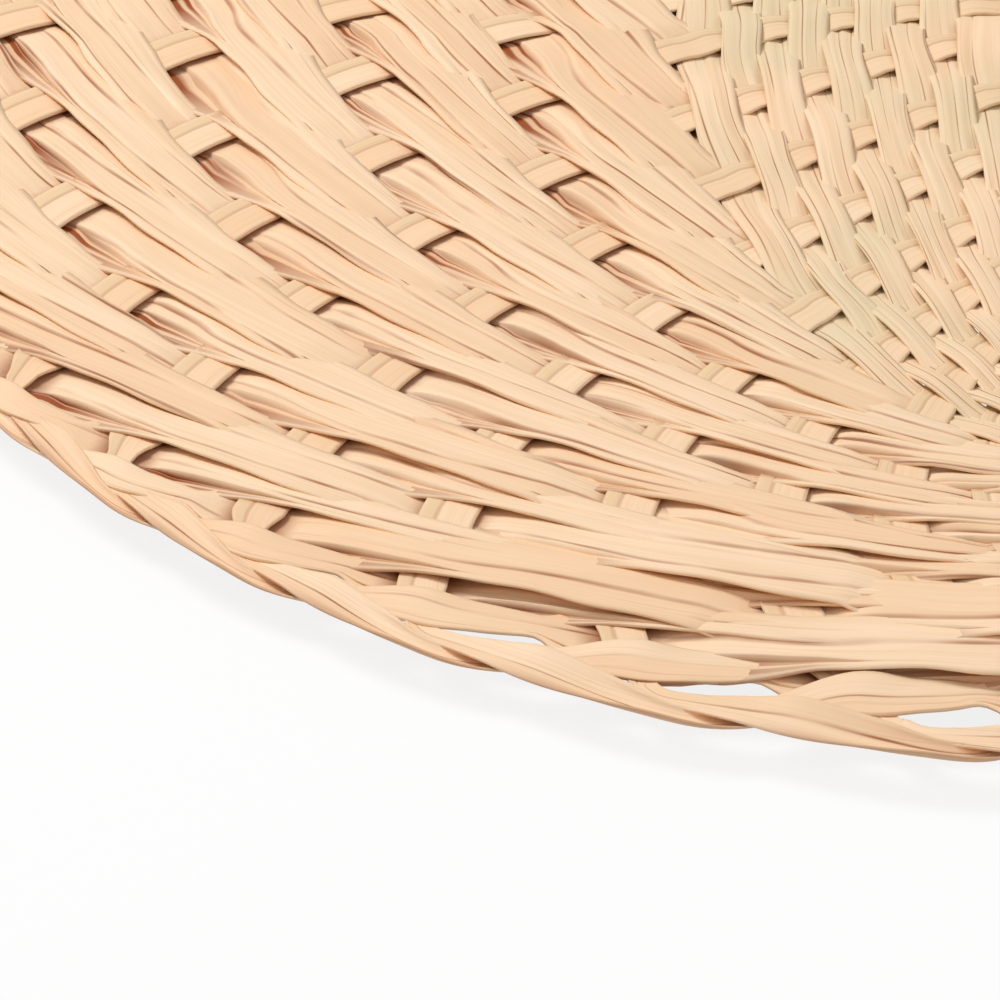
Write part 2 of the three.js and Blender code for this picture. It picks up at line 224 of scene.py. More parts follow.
class Weave:
    """Rows and ribs of the blade."""

    RIM_RIBS = 3  # ribs that a leaf passes in the rim
    WEFT_RIBS = 15  # ribs that it passes after that as a weft
    TURN_SHARE = 0.22  # where a rib turns, as a share of the rim's depth
    TURN_RADIUS = 2.6
    # At the sides and at the tip: the rim's depth, how far in its outer strand starts, and where
    # its inner strand goes over a rib, as a share of the depth
    DEPTH = (8.7, 14.0)
    RUN = (3.0, 0.8)
    OVER = (0.52, 0.74)
    UNEVEN = 0.033  # ribs end a little out of step, in radians
    UNEVEN_WAVES = 6
    UNEVEN_PHASE = math.radians(40.0)
    RIB_WIDTH = 3.2  # width at the spine, and how much is added by the rim
    RIB_WIDENS = 2.4
    FACE_WIDTH = 4.4
    FACE_WIDENS = 1.8
    FIRST_ROW = 4.0  # the row where the longest ribs start
    RIB_GAP = 0.8

    def __init__(self, blade):
        self.half_width = blade.half_width / MM
        self.tip = (blade.tip_spine / MM, blade.tip_rate)
        self.base = (blade.base_spine / MM, blade.base_rate)
        self.count = blade.leaf_count
        self.first = blade.first_angle
        self.spread = blade.leaf_spread
        self.swirl = blade.swirl
        self.core = blade.core_half_width / MM
        self.core_pitch = blade.core_pitch / MM

    def reach(self, half, angle):
        """How far a row reaches from the widest line, to the tip or to the handle."""
        tip = self.tip[0] + self.tip[1] * half
        base = self.base[0] + self.base[1] * half
        return np.where(np.sin(angle) >= 0, tip, base)

    def rim_angle(self, leaf):
        """Angle round the rim where a rib ends."""
        turn = 2 * np.pi * np.asarray(leaf, float) / self.count
        return self.first + turn + self.spread / 2 * np.sin(2 * turn)

    def angle(self, leaf, half):
        """Angle of a rib where it crosses a row."""
        share = half / self.half_width
        turn = 2 * np.pi * np.asarray(leaf, float) / self.count
        uneven = self.UNEVEN * np.sin(self.UNEVEN_WAVES * turn + self.UNEVEN_PHASE)
        return self.rim_angle(leaf) - self.swirl * (1 - share) + uneven * share ** 3

    def point(self, leaf, half):
        """Where a rib crosses the row of a half-width."""
        angle = self.angle(leaf, half)
        return np.stack([half * np.cos(angle), self.reach(half, angle) * np.sin(angle)], -1)

    def inside(self, leaf, inset):
        """Half-width of the row that lies a distance in from the rim."""
        angle = self.rim_angle(leaf)
        rate = np.where(np.sin(angle) >= 0, self.tip[1], self.base[1])
        reach = self.reach(self.half_width, angle)
        across = reach * np.cos(angle) ** 2 + self.half_width * rate * np.sin(angle) ** 2
        slope = np.hypot(reach * np.cos(angle), self.half_width * np.sin(angle))
        return self.half_width - inset * slope / across

    def depth(self, leaf):
        """Width of the rim, from its outside to the first row that goes under a rib."""
        return blend(self.DEPTH, self.tipwards(leaf))

    def tipwards(self, leaf):
        """1 at the tip, falling to 0 at the sides and on the handle's half."""
        return np.maximum(0, np.sin(self.rim_angle(leaf))) ** 4

    def first_row(self, leaf):
        """Half-width of the first row that goes under a rib."""
        return self.inside(leaf, self.depth(leaf))

    def pitch(self, leaf):
        """How far in a weft goes for each rib that it passes."""
        return (self.first_row(leaf) - self.core) / self.WEFT_RIBS

    def row_after(self, leaf, ribs):
        """Half-width of the row that a leaf is on when it has passed a number of ribs."""
        here = leaf + ribs
        tipwards = self.tipwards(here)
        inset = eased(ribs, [0, 1, 2, 3], [self.TURN_SHARE, 0, 0, 1])
        inset = inset + blend(self.OVER, tipwards) * eased(ribs, [1, 2, 3], [0, 1, 0])
        inset = inset * self.depth(here) + blend(self.RUN, tipwards) * eased(ribs, [1, 2], [1, 0])
        passed = np.clip(ribs - self.RIM_RIBS, 0, self.WEFT_RIBS)
        return self.inside(here, inset) - self.pitch(here) * passed

    def along(self, leaf, ribs):
        """Where a leaf is when it has passed a number of ribs."""
        return self.point(leaf + ribs, self.row_after(leaf, ribs))

    def rib_width(self, half):
        """Width of the solid that stands for a rib."""
        return self.RIB_WIDTH + self.RIB_WIDENS * half / self.half_width

    def face_width(self, half):
        """Width of a rib's face: the leaf is a little wider than the solid that stands for it."""
        return self.FACE_WIDTH + self.FACE_WIDENS * half / self.half_width

    def rib_start(self, leaf):
        """Ribs start where they have room: every fourth nearest the spine, then every second, then all."""
        stride = {0: 4, 2: 2}.get(leaf % 4, 1)
        half = self.FIRST_ROW
        while half < self.half_width / 2:
            here = self.point(leaf, half)
            along = self.point(leaf, half + 1) - here
            along = along / np.hypot(*along)
            sides = [self.point(leaf + step, half) - here for step in (-stride, stride)]
            room = min(abs(cross(along, side)) for side in sides)
            if room >= self.rib_width(half) + self.RIB_GAP:
                break
            half += 1
        return half

    def room_between_wefts(self, leaf, ribs):
        """Distance across a weft to its nearer neighbour."""
        here = self.along(leaf, ribs)
        along = unit(self.along(leaf, ribs + 0.05) - here)
        row = self.row_after(leaf, ribs)
        pitch = self.pitch(leaf + ribs)
        sides = [self.point(leaf + ribs, row + step * pitch) - here for step in (-1, 1)]
        return np.minimum(*(np.abs(cross(along, side)) for side in sides))

    def ribs_and_rows(self, rib, row, left):
        """How the rib and the row change for each millimetre to the left of a leaf's middle line."""
        to_rib = (self.point(rib + 0.01, row) - self.point(rib - 0.01, row)) / 0.02
        to_row = (self.point(rib, row + 0.1) - self.point(rib, row - 0.1)) / 0.2
        area = cross(to_rib, to_row)
        return (cross(left, to_row) / area)[:, None], (cross(to_rib, left) / area)[:, None]

    def wefts_in(self, leaf, rib, row):
        """Wefts between the rim and a point near a leaf's rib, counted along the wefts."""
        return (self.first_row(rib) - row) / self.pitch(rib) - (rib - leaf)


# The middle line of one leaf, from the spine along its rib, round the rim and back inwards as a weft

RIB_POINTS = 400
TURN_POINTS = 60
WEFT_POINTS = 4000
WEFT_END = 0.45  # part of a rib that a weft goes on for after its last one

# Millimetres between points on a rib, on a weft and in the middle of a float
RIB_STEP = 1.2
WEFT_STEP = 0.8
FLOAT_STEP = 1.3
FLOAT_START = 2.4  # ribs passed where the first float may start
FLOAT_FROM_DIVE = 0.6  # ribs from a dive to where the middle of a float starts
FEWEST_RIB_POINTS = 8


def leaf_path(weave, leaf):
    """Points of a leaf's middle line, with the row on its rib and the ribs passed after it."""
    corner = weave.along(leaf, 0.0)
    end = float(weave.row_after(leaf, 0.0)) - weave.TURN_RADIUS
    rows = np.linspace(weave.rib_start(leaf), end, RIB_POINTS)
    rib = weave.point(leaf, rows)
    leaving = weave.TURN_RADIUS / np.linalg.norm(weave.along(leaf, 0.5) - corner) * 0.5
    share = np.linspace(0, 1, TURN_POINTS)[1:, None]
    away = weave.along(leaf, leaving)
    bend = rib[-1] * (1 - share) ** 2 + corner * 2 * share * (1 - share) + away * share ** 2
    last = weave.RIM_RIBS + weave.WEFT_RIBS + WEFT_END
    ribs = np.linspace(leaving, last, WEFT_POINTS)[1:]
    points = np.concatenate([rib, bend, weave.along(leaf, ribs)])
    passed = np.concatenate([np.full(len(rib), -1.0), leaving * share[:, 0], ribs])
    rows = np.concatenate([rows, np.full(len(bend) + len(ribs), end)])
    return points, rows, passed


def resample(points, rows, passed):
    """Points along a leaf, closer together at the rim and where it goes under a rib."""
    run = lengths(points)
    turn = run[np.argmax(passed > 0)]
    rib_count = max(int(turn / RIB_STEP), FEWEST_RIB_POINTS)
    in_float = (passed > FLOAT_START) & (np.abs(from_third(passed)) > FLOAT_FROM_DIVE)
    step = np.where(in_float, FLOAT_STEP, WEFT_STEP)
    steps = np.concatenate([[0], np.cumsum(np.diff(run) / step[1:])])
    first = np.interp(turn, run, steps)
    weft = np.interp(np.linspace(first, steps[-1], int(steps[-1] - first)), steps, run)
    at = np.concatenate([np.linspace(0, turn, rib_count, endpoint=False), weft])
    return at, line_at(at, run, points), np.interp(at, run, rows), np.interp(at, run, passed)


# Places of a leaf against the ribs that it has passed: height, width to the spine and to the rim,
# tilt of its face and how far it opens between the ribs. Widths are in millimetres along the rim,
# and from the third rib on they are shares of the room between neighbouring wefts
RIM_KEYS = [
    (0.00, -0.20, 1.4, 1.4, 0.00, 0.0),
    (0.18, 0.10, 1.5, 1.5, 0.05, 0.0),
    (0.32, 0.35, 2.6, 1.7, 0.10, 0.0),
    (0.50, 0.55, 3.7, 2.0, 0.25, 0.0),
    (0.80, 0.30, 3.0, 2.0, 0.10, 0.0),
    (1.00, 0.00, 1.7, 1.7, 0.00, 0.0),
    (1.20, -0.50, 1.8, 1.8, 0.00, 0.0),
    (1.42, -0.55, 2.2, 2.2, 0.00, 0.0),
    (1.70, -0.10, 2.5, 2.5, 0.10, 0.0),
    (2.00, 0.65, 2.9, 2.9, 0.30, 0.2),
    (2.30, 0.60, 2.7, 2.7, 0.10, 0.3),
    (2.60, 0.30, 2.4, 2.4, 0.00, 0.3),
    (2.80, -0.25, 2.2, 2.2, 0.00, 0.2),
]
FLOAT_KEYS = [
    (0.00, -0.60, 1.05, 0.80, 0.00, 0.1),
    (0.20, -0.45, 1.06, 0.80, 0.00, 0.2),
    (0.33, 0.10, 1.08, 0.80, -0.02, 0.4),
    (0.50, 0.36, 1.10, 0.78, -0.05, 0.7),
    (1.00, 0.60, 1.02, 0.54, -0.09, 0.8),
    (1.50, 0.72, 0.78, 0.54, -0.11, 1.0),
    (2.00, 0.66, 0.54, 0.60, -0.07, 0.8),
    (2.45, 0.50, 0.42, 0.66, -0.05, 0.7),
    (2.66, 0.16, 0.46, 0.72, 0.00, 0.4),
    (2.79, -0.40, 0.66, 0.78, 0.00, 0.2),
]
END_KEYS = [
    (18.0, -0.62, 0.72, 0.72, 0.0, 0.1),
    (18.5, -0.60, 0.50, 0.50, 0.0, 0.1),
]
RIM_END_SHARE = 0.4  # how far the last place in the rim is measured as a float is
FLOAT_SWELL = (0.90, 1.14)
FLOAT_LIFT = (-0.06, 0.10)
FIRST_FLOAT_OUTER = 0.9  # the first float is a little narrower to the rim
LAST_FLOAT_INNER = 1.3  # the last float is wider, so that it covers the edge of the core


def weft_keys(random):
    """Keys of a whole leaf, each float a little wider or higher than the last."""
    keys = [(*key, 0.0) for key in RIM_KEYS[:-1]]
    keys.append((*RIM_KEYS[-1], RIM_END_SHARE))
    dives = range(Weave.RIM_RIBS, Weave.RIM_RIBS + Weave.WEFT_RIBS, 3)
    for dive in dives:
        swell = random.uniform(*FLOAT_SWELL)
        lift = random.uniform(*FLOAT_LIFT)
        for place, height, inner, outer, tilt, opening in FLOAT_KEYS:
            if dive == dives[0] and place == 1.0:
                outer *= FIRST_FLOAT_OUTER
            if dive == dives[-1] and place > 1.0:
                inner *= LAST_FLOAT_INNER
            keys.append((dive + place, height + lift * opening, inner * swell, outer * swell,
                         tilt, opening, 1.0))
    keys.extend((*key, 1.0) for key in END_KEYS)
    return np.array(keys).T


# The face of a strip: folds along it and small unevenness

DRIFT_LENGTHS, DRIFT_SIZES = (45, 130), (0.03, 0.10)  # how folds wander across a strip
DEEP_LENGTHS, DEEP_MEAN, DEEP_SIZE = (30, 60), 0.75, 0.35  # how they get deeper and shallower
CRUMPLES, CRUMPLE_LENGTHS, CRUMPLE_SLANT = 9, (5, 24), 2.2
CRUMPLE_SCALE = 5


def pleats(along, across, random, count, drop):
    """Height of the folds along a strip, which rise to the rim and drop at a crease, and their number."""
    phase = random.uniform(0, 1)
    drift = np.zeros_like(along)
    for _ in range(3):
        wave = random.uniform(*DRIFT_LENGTHS)
        size = random.uniform(*DRIFT_SIZES)
        drift += size * np.sin(2 * np.pi * along / wave + random.uniform(0, PHASE_RANGE))
    folds = phase + drift - across * count / 2
    share = folds % 1.0
    rise = np.clip(share / (1 - drop), 0, 1)
    rise = 0.8 * rise + 0.2 * np.sin(np.pi / 2 * rise)
    fall = np.clip((share - (1 - drop)) / drop, 0, 1)
    wave = random.uniform(*DEEP_LENGTHS)
    deep = DEEP_MEAN + DEEP_SIZE * np.sin(2 * np.pi * along / wave + random.uniform(0, PHASE_RANGE))
    return deep * (rise - fall - 0.5), folds


def crumple(along, across, random):
    """Small waves that cross a strip at random slants."""
    height = np.zeros(np.broadcast(along, across).shape)
    for _ in range(CRUMPLES):
        wave = random.uniform(*CRUMPLE_LENGTHS)
        slant = random.uniform(-CRUMPLE_SLANT, CRUMPLE_SLANT)
        turn = 2 * np.pi * along / wave + slant * across + random.uniform(0, PHASE_RANGE)
        height = height + np.sin(turn) * wave / CRUMPLE_LENGTHS[1]
    return height / CRUMPLE_SCALE


# The face of a leaf, in millimetres; curves go by the ribs passed, or on a rib by its rows

LEAF_SEED = 700
WEFT_START = 2.5  # ribs passed where the rim ends and the weft starts
WEFT_ROOM = (4.9, 7.4)  # least and most room that a weft takes
SIDE_STRAND, TIP_STRAND = 0.6, 0.5  # scale of a strand of the rim, and what is added at the tip
WIDTH_BLUR, SHARE_BLUR, HEIGHT_BLUR, GATHER_BLUR = 0.12, 0.05, 0.1, 0.1
INNER_SPREAD, OUTER_SPREAD, SPREAD_LIFT = 1.3, 1.0, 0.7
TURN_NARROWS, THIN_NARROWS = 0.52, 0.3  # what a rib loses where it turns, and near the tip
TURN_ROWS, THIN_FROM, THIN_TO = 5, 17, 9  # how far from its end that is
RIB_LEVEL, RIB_RISE, RIB_CORE_RISE = -0.05, 0.33, 0.28  # height among the wefts and in the core
RIM_RISES = [0.28, -0.45, -0.20]  # at the first row, under the inner strand and at the turn
CORE_MERGE = 3  # rows over which a rib's height goes from the one to the other
TURN_CURL, LEAST_CURL = 0.5, 0.02  # how far the face is curled across, in radians
LEAF_SWAY, SWAY_LENGTHS = 0.05, (18, 50)

# A weft's bundle: its share of the columns, its half-width where it is gathered and its place
BUNDLE, BUNDLE_HALF = 0.72, 0.41
BUNDLE_SHIFT = (0.04, 0.38)
SHIFT_PLACES = np.arange(0, 22, 3)
GAP_BEND = 1.6
CLIFF_START, CLIFF_WIDTH = 0.005, 0.03
# Columns across a leaf, close together where its bundle ends
CLOSE_COLUMNS = np.array([0.71, 0.735, 0.755, 0.80, 0.88, 1.0])
COLUMNS = np.concatenate([-CLOSE_COLUMNS[::-1], np.linspace(-0.66, 0.66, 17), CLOSE_COLUMNS])[None, :]

FOLD_COUNTS, FOLD_DROP = [1.3, 1.7, 2.1, 2.8], 0.08
FINE_COUNTS, FINE_DROP = [4.6, 6.0], 0.22
FOLD_DEPTH, FOLD_GATHERED = 0.34, 0.30
FINE_DEPTH, FINE_SOME, FINE_GATHERED = 0.02, 0.05, 0.05
SOME_LENGTHS = (40, 90)  # lengths over which the fine folds come and go
ARCH, ARCH_LEVEL, CRUMPLE = 0.12, 0.06, 0.03
RIB_ARCH, RIB_FOLD, RIB_FOLD_AT, RIB_FOLD_WIDTH = 0.05, 0.10, 0.36, 0.07
EDGE_WAVE, EDGE_LENGTH, EDGE_PHASE, EDGE_POWER = 0.04, 1.7, 9, 8
FOLD_UV = 3.6  # UV to each side of a weft's middle

# How dark the painted shade is under ribs and wefts, along a rib's fold and on the rim's outer edge, and how
# dark the painted shadow is in the gaps beside a bundle
SHADE, FOLD_SHADE, RIM_SHADE = 0.7, 0.4, 0.4
GAP_SHADE_EDGE, INNER_GAP_SHADE = 1.8, 0.3
YOUNG_FROM, YOUNG_ROWS = 62, 34
FLOAT_PLIES, LEAF_PLIES = 7, 50  # numbers kept for the plies of one float and of one leaf


def leaf_widths(weave, leaf, rows, passed, spread, keys):
    """Half-widths to the spine's side and to the rim's, and how far the face is curled across."""
    places, inner, outer, share = keys
    on_rib = passed <= 0
    room = weave.room_between_wefts(leaf, np.maximum(passed, 0.01))
    shared = flowing(passed, places, share, SHARE_BLUR)
    strand = SIDE_STRAND + TIP_STRAND * weave.tipwards(leaf + passed)
    scale = (1 - shared) * strand + np.clip(room, *WEFT_ROOM) * shared
    inner = flowing(passed, places, inner, WIDTH_BLUR) * scale * (1 + INNER_SPREAD * spread)
    outer = flowing(passed, places, outer, WIDTH_BLUR) * scale * (1 + OUTER_SPREAD * spread)
    end = rows[on_rib][-1]
    turning = eased(rows, [end - TURN_ROWS, end], [0, 1])
    # Near the tip the ribs get thin before they reach the rim
    thin = weave.tipwards(leaf) * eased(rows, [end - THIN_FROM, end - THIN_TO], [0, 1])
    rib = weave.face_width(rows) / 2 * (1 - TURN_NARROWS * turning) * (1 - THIN_NARROWS * thin)
    rim_curl = eased(passed, [0, 0.25, 0.5, 1.0, 1.35, 1.7], [0.5, 0.6, 0.6, 2.5, 1.2, 0.02])
    curl = np.maximum(np.where(on_rib, TURN_CURL * turning, rim_curl), LEAST_CURL)
    return np.where(on_rib, rib, inner)[:, None], np.where(on_rib, rib, outer)[:, None], curl[:, None]


def gather(passed, woven, random):
    """Where the columns lie across a leaf, how far it is gathered, and what drops away beside it."""
    size = np.abs(COLUMNS)
    sign = np.sign(COLUMNS)
    rising = flowing(from_third(passed), [-0.6, -0.2, 0.2, 0.7, 1.3], [0, 0.5, 1, 0.85, 0], GATHER_BLUR)
    gathered = np.where(woven, rising, 0) * eased(passed, [2.45, 2.8], [0, 1])
    bundle = BUNDLE + (BUNDLE_HALF - BUNDLE) * gathered
    shifts = random.uniform(*BUNDLE_SHIFT, len(SHIFT_PLACES))
    middle = eased(passed, SHIFT_PLACES, shifts) * gathered ** 2
    beside = np.clip((size - BUNDLE) / (1 - BUNDLE), 0, 1) ** GAP_BEND
    end = middle + sign * bundle
    across = np.where(size <= BUNDLE, middle + COLUMNS / BUNDLE * bundle, end + (sign - end) * beside)
    floor = smooth(np.clip((size - BUNDLE + CLIFF_START) / CLIFF_WIDTH, 0, 1)) * gathered
    return across, gathered, floor


def leaf_surface(weave, leaf):
    """Points of one leaf's face, its UVs in millimetres and the values that its material reads."""
    random = np.random.default_rng(LEAF_SEED + leaf)
    at, line, rows, passed = resample(*leaf_path(weave, leaf))
    places, height, inner, outer, tilt, opening, share = weft_keys(random)
    # Near the tip every second weft is spread wide over its neighbours
    spread = weave.tipwards(leaf + passed) * eased(passed, [2.6, 3.4, 8.0, 12.0], [0, 1, 1, 0])
    spread = spread * (leaf % 2 == 0)
    inner, outer, curl = leaf_widths(weave, leaf, rows, passed, spread, (places, inner, outer, share))
    ribs = np.maximum(passed, 0)
    middle = np.where(passed <= 0, rows, weave.row_after(leaf, ribs))
    side = left_of(line)
    more_ribs, more_rows = weave.ribs_and_rows(leaf + ribs, middle, side)
    wave = slow_wave(at, random, SWAY_LENGTHS)
    along, rows, passed, middle, spread, wave = (
        values[:, None] for values in (at, rows, passed, middle, spread, wave))
    on_rib = passed <= 0
    woven = passed > WEFT_START
    roll = np.where(on_rib, 0, eased(passed, places, tilt))
    opened = np.where(on_rib, 0, eased(passed, places, opening))
    line = line + side * (LEAF_SWAY * wave * opened)

    # A weft is gathered into a narrow bundle where it goes under a rib, and spreads between
    across, gathered, floor = gather(passed, woven, random)
    edge_wave = np.sin(along / EDGE_LENGTH + EDGE_PHASE * np.sign(across))
    edge = 1 + EDGE_WAVE * edge_wave * np.abs(across) ** EDGE_POWER * opened
    half = np.where(across > 0, inner, outer) * edge
    radius = 2 * half / curl
    bent = across * curl / 2
    offset = radius * np.sin(bent)
    relief = radius * (1 - np.cos(bent)) - radius * (1 - np.cos(curl / 2)) * 0.5

    # Where each point is against the ribs and the wefts, so that folds follow what the leaf crosses
    crossed = passed + np.clip(offset * more_ribs, -0.5, 0.5) * woven
    dive = np.abs(from_third(crossed))
    rib_wefts = weave.wefts_in(leaf, leaf + offset * more_ribs, rows + offset * more_rows)
    level = np.where(on_rib, rib_relief(weave, leaf, rows + 0 * offset, rib_wefts),
                     flowing(crossed, places, height, HEIGHT_BLUR) + SPREAD_LIFT * (spread * opened))

    fold, folds = pleats(along, COLUMNS, random, random.choice(FOLD_COUNTS), FOLD_DROP)
    fine, _ = pleats(along, COLUMNS, random, random.choice(FINE_COUNTS), FINE_DROP)
    some = np.sin(2 * np.pi * along / random.uniform(*SOME_LENGTHS) + random.uniform(0, PHASE_RANGE))
    fine_depth = FINE_DEPTH + FINE_SOME * eased(some, [-0.2, 0.9], [0, 1]) + FINE_GATHERED * gathered
    above = eased(dive, [0.2, 0.4], [0.25, 1])
    folded = np.where(on_rib, 0, eased(passed, [1.8, 3.0], [0.25, 1.0])) * above
    relief = relief + folded * (FOLD_DEPTH + FOLD_GATHERED * gathered) * fold
    relief = relief + folded * fine_depth * fine - above * floor
    uneven = CRUMPLE * crumple(along, across, random)
    relief = relief + opened * (ARCH * (1 - across ** 2) - ARCH_LEVEL + uneven)
    rib_fold = np.exp(-((across + RIB_FOLD_AT) / RIB_FOLD_WIDTH) ** 2)
    relief = relief + on_rib * (RIB_ARCH * (1 - across ** 2) - RIB_FOLD * rib_fold)
    face = swept(line, side, offset * np.cos(roll) - relief * np.sin(roll),
                 level + (offset * np.sin(roll) + relief * np.cos(roll)))
    face[..., 2] *= pinched(face)
    uv = np.stack(np.broadcast_arrays(along, np.where(woven, FOLD_UV * COLUMNS, across * half)), -1)

    # Painted shade where the leaf is out of the light: a weft under its rib or beside its bundle, a rib under
    # its wefts, and a rib along its fold
    covered = (rib_wefts > 0) & (rows > weave.core)
    under_wefts = np.where(covered, eased(np.abs(from_third(rib_wefts)), [0.42, 0.8], [0, 1]), 0)
    under_rib = np.where(woven, eased(dive, [0.12, 0.27], [1, 0]), 0)
    # Painted shadow in the gaps beside a bundle, darkest on the rim's side just after a dive
    outer_gap_shade = eased(passed % 3, [0.25, 0.9, 1.4], [1.2, 0.5, 0.0]) * np.clip(GAP_SHADE_EDGE * floor, 0, 1)
    gap_shade = np.where(COLUMNS < 0, outer_gap_shade, INNER_GAP_SHADE * floor)
    # Painted shade along the outer edge of the rim's strand
    rim_shade = eased(passed, [0.3, 0.6, 1.2, 1.6], [0, 1, 1, 0]) * np.clip((-across - 0.2) / 0.6, 0, 1)
    painted_shade = np.maximum(on_rib * FOLD_SHADE * rib_fold, SHADE * np.where(on_rib, under_wefts, under_rib))
    # Each ply of each float has a number of its own, so that it can have its own shade
    plies = folds + FLOAT_PLIES * np.floor(passed / 3)
    return face, uv, {
        "painted_shade": np.maximum(painted_shade, np.where(on_rib, 0, RIM_SHADE * rim_shade)),
        "gap_shade": np.where(on_rib, 0, SHADE * gap_shade),
        "dull": on_rib * np.clip((-across - RIB_FOLD_AT) / 0.05, 0, 1),
        "young": np.clip((YOUNG_FROM - middle) / YOUNG_ROWS, 0, 1),
        "folds": np.where(on_rib, 0.5, plies) + LEAF_PLIES * leaf,
    }


def rib_relief(weave, leaf, rows, passed):
    """A rib rises where a weft goes under it, and sinks where two go over."""
    first = float(weave.first_row(leaf))
    over = float(weave.row_after(leaf - 2.0, 2.0))
    turn = float(weave.row_after(leaf, 0.0))
    woven = RIB_LEVEL + RIB_RISE * np.cos(2 * np.pi * passed / 3)
    core = (weave.core - rows) / weave.core_pitch
    fine = RIB_CORE_RISE * np.cos(np.pi * (core + leaf))
    outer = eased(rows, [first, over, turn], RIM_RISES)
    relief = np.where(rows > first, outer, woven)
    inner = np.clip((weave.core - rows) / CORE_MERGE, 0, 1)
    return relief * (1 - inner) + fine * inner


def pinched(face):
    """The blade lies flatter where the two tines of the handle hold it."""
    beside = eased(np.abs(face[..., 0]), [5, 12], [0.6, 1])
    beyond = eased(face[..., 1], [70, 82], [0, 1])
    return beside + (1 - beside) * beyond


# Core strips

CORE_SEED = 300
CORE_STEP, CORE_COLUMNS, CORE_SAMPLES = 0.7, 11, 16001
CORE_LAST_ROW = 9
# First and last angle of a core strip: whole, or one half beside the tines
CORE_ENDS = {"": (-78, 258), "left": (-70, 89), "right": (91, 250)}
CORE_RISE, CORE_SWAY, CORE_WAVES = 0.55, 0.045, (12, 40)
CLOSE_RIBS, RIBS_OPEN = 4.5, 2.5  # spacing too close to weave through, and what more opens it fully
# Width as a share of the room between rows, and what is added under a rib and by the waves
CORE_WIDTH, CORE_UNDER_RIB, CORE_UNEVEN, CORE_WIDEST = 1.28, 0.12, 0.03, 6.5
CORE_FILL, FILL_ROOM, FILL_EASE = 0.35, 3.4, 0.8
CORE_FOLD_COUNTS, CORE_FOLD_DROP = [2.4, 3.0, 3.6], 0.14
CORE_FOLD, CORE_ARCH, CORE_CRUMPLE, CORE_TILT = 0.26, 0.10, 0.03, 0.14
KERF_WIDENS, TINES_WIDEN, WEFTS_WIDEN = 1.8, 2.6, 0.5
CORE_PLIES = 9  # numbers kept for the plies between two ribs


def core_surface(weave, name):
    """Points of one core strip, over one rib and under one."""
    parts = name.split("_")
    row = int(parts[2])
    part = parts[3] if len(parts) > 3 else ""
    low, high = CORE_ENDS[part]
    half = weave.core - weave.core_pitch * row
    random = np.random.default_rng(CORE_SEED + row * 3 + len(part))
    ribs = np.linspace(-weave.count, weave.count, CORE_SAMPLES)
    angle = np.degrees(weave.angle(ribs, half))
    ribs = ribs[(angle >= low) & (angle <= high)]
    line = weave.point(ribs, half)
    run = lengths(line)
    at = np.linspace(0, run[-1], int(run[-1] / CORE_STEP))
    line = line_at(at, run, line)
    ribs = np.interp(at, run, ribs)
    along = at[:, None]
    across = np.linspace(-1, 1, CORE_COLUMNS)[None, :]
    left = left_of(line)
    room = np.abs(np.sum(left * (weave.point(ribs, half + weave.core_pitch) - line), axis=1))
    # Where the ribs are too close, the strip lies over all of them
    spacing = np.linalg.norm(weave.point(ribs + 0.5, half) - weave.point(ribs - 0.5, half), axis=1)
    woven = np.clip((spacing - CLOSE_RIBS) / RIBS_OPEN, 0, 1)
    under = np.cos(np.pi * (ribs + row))
    level = -CORE_RISE * under * woven + CORE_RISE * (1 - woven)
    slow = slow_wave(at, random, CORE_WAVES)
    line = line + left * (CORE_SWAY * room * slow)[:, None]
    # A strip is broader under a rib, the more so where the rows are close
    filling = CORE_FILL * np.clip(under, 0, 1) * np.clip((FILL_ROOM - room) / FILL_EASE, 0, 1)
    wide = room * (CORE_WIDTH + CORE_UNDER_RIB * under * woven + CORE_UNEVEN * slow + filling)
    wide = np.minimum(wide, CORE_WIDEST)
    fold, folds = pleats(along, across, random, random.choice(CORE_FOLD_COUNTS), CORE_FOLD_DROP)
    relief = CORE_FOLD * fold + CORE_ARCH * (1 - across ** 2)
    relief = relief + CORE_CRUMPLE * crumple(along, across, random) - CORE_TILT * across
    # The innermost row is broad enough to go under the tines and into the end of their kerf
    from_axis = np.abs(line[:, 0])
    into_kerf = KERF_WIDENS * eased(from_axis, [2, 5], [1, 0]) * (line[:, 1] > 0)
    under_tines = TINES_WIDEN * eased(from_axis, [3, 8], [0, 1]) + into_kerf
    under_tines = (row == CORE_LAST_ROW) * under_tines[:, None]
    # The outermost row is broad enough to go under the ends of the wefts
    under_wefts = WEFTS_WIDEN * (row == 1) * np.clip(-across, 0, 1)
    offset = across * (wide / 2)[:, None] * (1 + under_tines * np.clip(across, 0, 1) + under_wefts)
    face = swept(line, left, offset, level[:, None] + relief)
    uv = np.stack(np.broadcast_arrays(along, offset), -1)
    plies = folds + CORE_PLIES * np.floor((ribs + row) / 2)[:, None]
    return face, uv, {"painted_shade": 0.0, "dull": 0.0, "young": 1.0, "folds": plies}


# Mesh pieces


def start_grid(name, rows, columns):
    """A flat grid primitive, and the row and column of each of its points."""
    bpy.ops.object.select_all(action="DESELECT")
    bpy.ops.mesh.primitive_grid_add(x_subdivisions=rows - 1, y_subdivisions=columns - 1, size=2)
    piece = bpy.context.active_object
    piece.name = name
    piece.data.name = name
    flat = np.empty(len(piece.data.vertices) * 3)
    piece.data.vertices.foreach_get("co", flat)
    flat = flat.reshape(-1, 3)
    row = np.rint((flat[:, 0] + 1) / 2 * (rows - 1)).astype(int)
    column = np.rint((flat[:, 1] + 1) / 2 * (columns - 1)).astype(int)
    if len(flat) != rows * columns:
        raise RuntimeError(f"{name}: the grid has {len(flat)} points and not {rows * columns}")
    return piece, row, column


